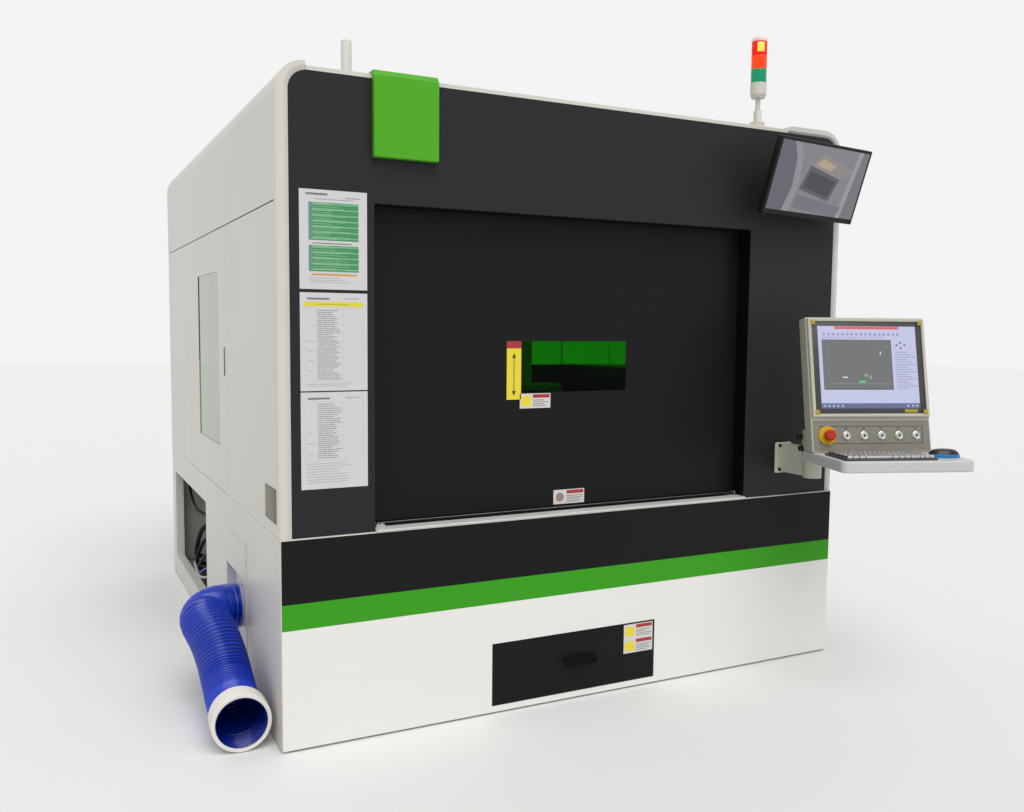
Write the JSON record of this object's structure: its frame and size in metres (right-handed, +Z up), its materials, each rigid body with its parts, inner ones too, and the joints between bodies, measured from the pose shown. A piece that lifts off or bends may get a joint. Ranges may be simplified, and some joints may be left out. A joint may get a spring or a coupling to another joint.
{
  "type": "fiber laser cutting machine",
  "caption": "Enclosed sheet-metal laser cutter with a lifting front door, side service door, scrap drawer, moving gantry and head, stack light, wall monitor and operator console",
  "frame": {"origin": "on the floor, under the middle of the machine's footprint", "axes": "+X to the right seen from the front, +Y to the rear so the front door faces -Y, +Z up"},
  "size_m": [2.5296, 3.1246, 2.4025],
  "materials": {
    "shell_white": "satin powder coat",
    "panel_black": "satin powder coat",
    "badge_green": "gloss",
    "frame_grey": "matt paint",
    "bare_steel": "brushed",
    "slat_steel": "mill scale",
    "green_acrylic": "clear green",
    "mirror_acrylic": "mirror-coated green",
    "console_beige": "satin paint",
    "screen_black": "gloss",
    "monitor_black": "matt",
    "key_silver": "satin",
    "mouse_black": "gloss",
    "hose_blue": "ribbed",
    "cable_black": "satin",
    "lamp_white": "satin",
    "lens_green": "translucent",
    "lens_amber": "translucent",
    "lens_red": "translucent",
    "stop_yellow": "gloss",
    "stop_red": "gloss",
    "button_white": "gloss",
    "laser_grey": "satin powder coat",
    "head_dark": "black anodised"
  },
  "bodies": {
    "enclosure": {"base_frame": "frame_grey", "bed_frame": "frame_grey", "front_post_left": "frame_grey", "front_post_right": "frame_grey", "lower_front_panel": "shell_white", "lower_left_panel": "shell_white", "lower_right_panel": "shell_white", "exhaust_cover": "shell_white", "left_front_panel": "shell_white", "left_rear_panel": "shell_white", "right_side_panel": "shell_white", "rear_panel": "shell_white", "upper_front_panel": "panel_black", "door_sill": "shell_white", "roof_panel": "shell_white", "left_shell": "shell_white", "right_shell": "shell_white", "lift_cylinder": "bare_steel", "door_guide": "bare_steel", "side_door_frame": "frame_grey", "rear_bulkhead": "shell_white", "laser_source": "laser_grey", "exhaust_duct": "laser_grey", "exhaust_hose": "hose_blue", "service_conduit": "cable_black", "slat_table": "slat_steel", "scrap_chute": "bare_steel", "drawer_bay": "bare_steel", "badge_plate": "badge_green", "stack_light_stem": "lamp_white", "green_lens": "lens_green", "amber_lens": "lens_amber", "red_lens": "lens_red", "stack_light_cap": "lamp_white", "monitor_bracket": "monitor_black", "console_bracket": "console_beige"},
    "door": {"door_panel": "panel_black", "door_window": "green_acrylic", "door_carriage": "frame_grey"},
    "drawer": {"scrap_drawer": "panel_black"},
    "side_door": {"side_door_panel": "shell_white", "side_window": "mirror_acrylic"},
    "gantry": {"gantry_beam": "shell_white"},
    "carriage": {"head_carriage": "frame_grey"},
    "head": {"cutting_head": "head_dark"},
    "monitor_arm": {"monitor_arm": "monitor_black"},
    "monitor": {"monitor_housing": "monitor_black", "monitor_screen": "screen_black"},
    "console": {"console_housing": "console_beige", "console_screen": "screen_black", "keyboard_tray": "console_beige", "keyboard": "key_silver", "mouse": "mouse_black", "estop_collar": "stop_yellow"},
    "estop": {"estop_button": "stop_red"},
    "button_1": {"button_1": "button_white"},
    "button_2": {"button_2": "button_white"},
    "button_3": {"button_3": "button_white"},
    "button_4": {"button_4": "button_white"},
    "button_5": {"button_5": "button_white"}
  },
  "joints": [
    {"name": "door_lift", "type": "slide", "parent": "enclosure", "child": "door", "axis": [0, 0, 1], "range_m": [0, 0.95]},
    {"name": "drawer_slide", "type": "slide", "parent": "enclosure", "child": "drawer", "axis": [0, -1, 0], "range_m": [0, 0.5]},
    {"name": "side_door_hinge", "type": "hinge", "parent": "enclosure", "child": "side_door", "pos_m": [-1.112, 0.5365, 1.1675], "axis": [0, 0, 1], "range_deg": [-110, 0]},
    {"name": "gantry_travel", "type": "slide", "parent": "enclosure", "child": "gantry", "axis": [0, 1, 0], "range_m": [-1.3, 0]},
    {"name": "carriage_travel", "type": "slide", "parent": "gantry", "child": "carriage", "axis": [1, 0, 0], "range_m": [0, 1.3]},
    {"name": "head_lift", "type": "slide", "parent": "carriage", "child": "head", "axis": [0, 0, 1], "range_m": [-0.095, 0]},
    {"name": "monitor_swivel", "type": "hinge", "parent": "enclosure", "child": "monitor_arm", "pos_m": [0.859, -1.265, 1.868], "axis": [0, 0, 1], "range_deg": [-10, 10]},
    {"name": "monitor_tilt", "type": "hinge", "parent": "monitor_arm", "child": "monitor", "pos_m": [0.859, -1.323, 1.868], "axis": [1, 0, 0], "range_deg": [-18, 8]},
    {"name": "console_swivel", "type": "hinge", "parent": "enclosure", "child": "console", "pos_m": [0.855, -1.39, 0.87], "axis": [0, 0, 1], "range_deg": [-30, 40]},
    {"name": "estop_press", "type": "slide", "parent": "console", "child": "estop", "axis": [0.3235, 0.9239, -0.2045], "range_m": [0, 0.005], "stiffness_N_per_m": 600, "springref_m": -0.002},
    {"name": "button_1_press", "type": "slide", "parent": "console", "child": "button_1", "axis": [0.3235, 0.9239, -0.2045], "range_m": [0, 0.004], "stiffness_N_per_m": 300, "springref_m": -0.002},
    {"name": "button_2_press", "type": "slide", "parent": "console", "child": "button_2", "axis": [0.3235, 0.9239, -0.2045], "range_m": [0, 0.004], "stiffness_N_per_m": 300, "springref_m": -0.002},
    {"name": "button_3_press", "type": "slide", "parent": "console", "child": "button_3", "axis": [0.3235, 0.9239, -0.2045], "range_m": [0, 0.004], "stiffness_N_per_m": 300, "springref_m": -0.002},
    {"name": "button_4_press", "type": "slide", "parent": "console", "child": "button_4", "axis": [0.3235, 0.9239, -0.2045], "range_m": [0, 0.004], "stiffness_N_per_m": 300, "springref_m": -0.002},
    {"name": "button_5_press", "type": "slide", "parent": "console", "child": "button_5", "axis": [0.3235, 0.9239, -0.2045], "range_m": [0, 0.004], "stiffness_N_per_m": 300, "springref_m": -0.002}
  ]
}
